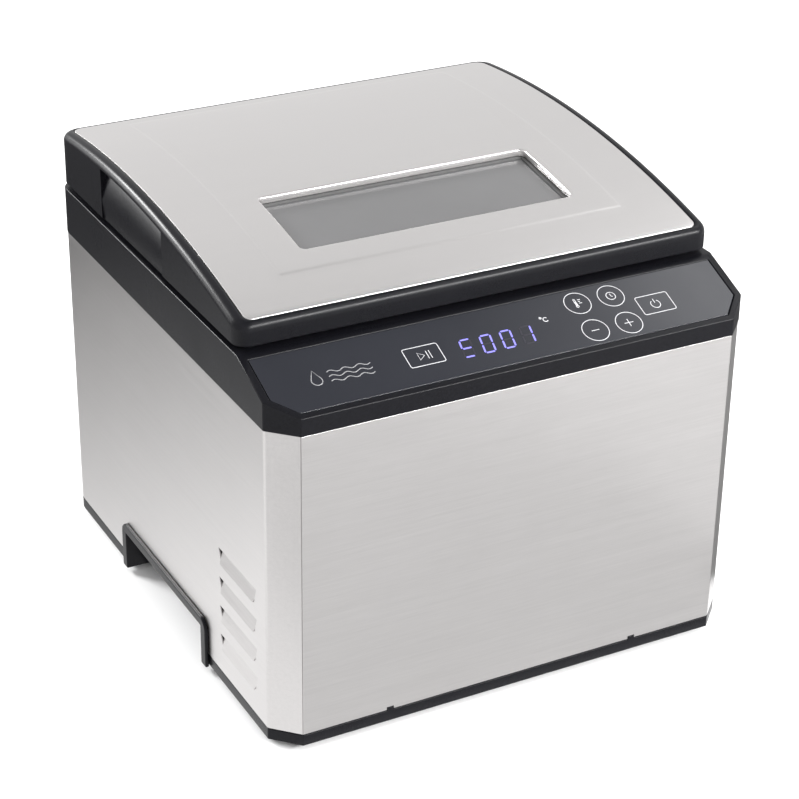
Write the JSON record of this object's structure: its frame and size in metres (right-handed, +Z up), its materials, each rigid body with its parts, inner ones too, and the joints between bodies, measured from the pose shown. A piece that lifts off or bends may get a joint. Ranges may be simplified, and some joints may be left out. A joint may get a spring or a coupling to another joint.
{
  "type": "sous vide water oven",
  "caption": "Steel-clad countertop water bath with a sloped touch panel, a deep tank and an arched lift-off lid with a window.",
  "frame": {"origin": "centre of the bounding box's footprint, on the surface that the feet stand on", "axes": "+X towards the object's right seen from the front, +Y towards the back, +Z up; the control panel faces -Y"},
  "size_m": [0.284, 0.2911, 0.2508],
  "materials": {
    "black_plastic": "satin black moulding with a fine spark-eroded grain",
    "brushed_steel": "stainless sheet with a fine directional brush",
    "tank_steel": "bright drawn stainless steel",
    "control_glass": "smoked dark grey gloss panel",
    "window_glass": "smoky grey toughened glass",
    "rubber": "matt black rubber",
    "silicone": "grey silicone",
    "circuit_board": "green solder mask",
    "dark_moulding": "dark grey moulding",
    "capacitor_case": "yellow film capacitor case",
    "aluminium": "mill finish",
    "insulation": "felted glass wool",
    "fastener_steel": "plated steel",
    "wire_insulation": "silicone wire insulation"
  },
  "bodies": {
    "housing": {"base_tray": "black_plastic", "left_hand_hold": "black_plastic", "right_hand_hold": "black_plastic", "top_frame": "black_plastic", "left_side_panel": "brushed_steel", "right_side_panel": "brushed_steel", "front_panel": "brushed_steel", "rear_panel": "brushed_steel", "water_tank": "tank_steel", "temperature_probe": "tank_steel", "heating_element": "tank_steel", "control_glass": "control_glass", "foot_front_left": "rubber", "foot_front_right": "rubber", "foot_back_left": "rubber", "foot_back_right": "rubber", "tank_rim_seal": "silicone", "control_board": "circuit_board", "power_board": "circuit_board", "display_module": "dark_moulding", "buzzer": "dark_moulding", "transformer": "dark_moulding", "relay": "dark_moulding", "mains_inlet": "dark_moulding", "filter_capacitor": "capacitor_case", "heater_plate": "aluminium", "thermal_cutout": "aluminium", "heat_sink": "aluminium", "tank_insulation": "insulation", "foot_screw_front_left": "fastener_steel", "foot_screw_front_right": "fastener_steel", "foot_screw_back_left": "fastener_steel", "foot_screw_back_right": "fastener_steel", "rear_panel_screw_1": "fastener_steel", "rear_panel_screw_2": "fastener_steel", "rear_panel_screw_3": "fastener_steel", "rear_panel_screw_4": "fastener_steel", "inlet_pin_line": "fastener_steel", "inlet_pin_neutral": "fastener_steel", "inlet_pin_earth": "fastener_steel", "inlet_screw_left": "fastener_steel", "inlet_screw_right": "fastener_steel", "ribbon_cable": "wire_insulation", "heater_lead_left": "wire_insulation", "heater_lead_right": "wire_insulation", "mains_lead": "wire_insulation"},
    "lid": {"lid_rim": "black_plastic", "lid_top_panel": "brushed_steel", "window_gasket": "silicone", "window_glass": "window_glass", "window_clamp": "black_plastic", "lid_liner": "tank_steel", "lid_seal": "silicone", "lid_screw_front_left": "fastener_steel", "lid_screw_back_left": "fastener_steel", "lid_screw_front_right": "fastener_steel", "lid_screw_back_right": "fastener_steel"},
    "rack": {"bottom_rack": "tank_steel"}
  },
  "joints": [
    {"name": "lid_lift", "type": "slide", "parent": "housing", "child": "lid", "axis": [0, 0, 1], "range_m": [0, 0.22]},
    {"name": "rack_lift", "type": "slide", "parent": "housing", "child": "rack", "axis": [0, 0, 1], "range_m": [0, 0.125]}
  ]
}
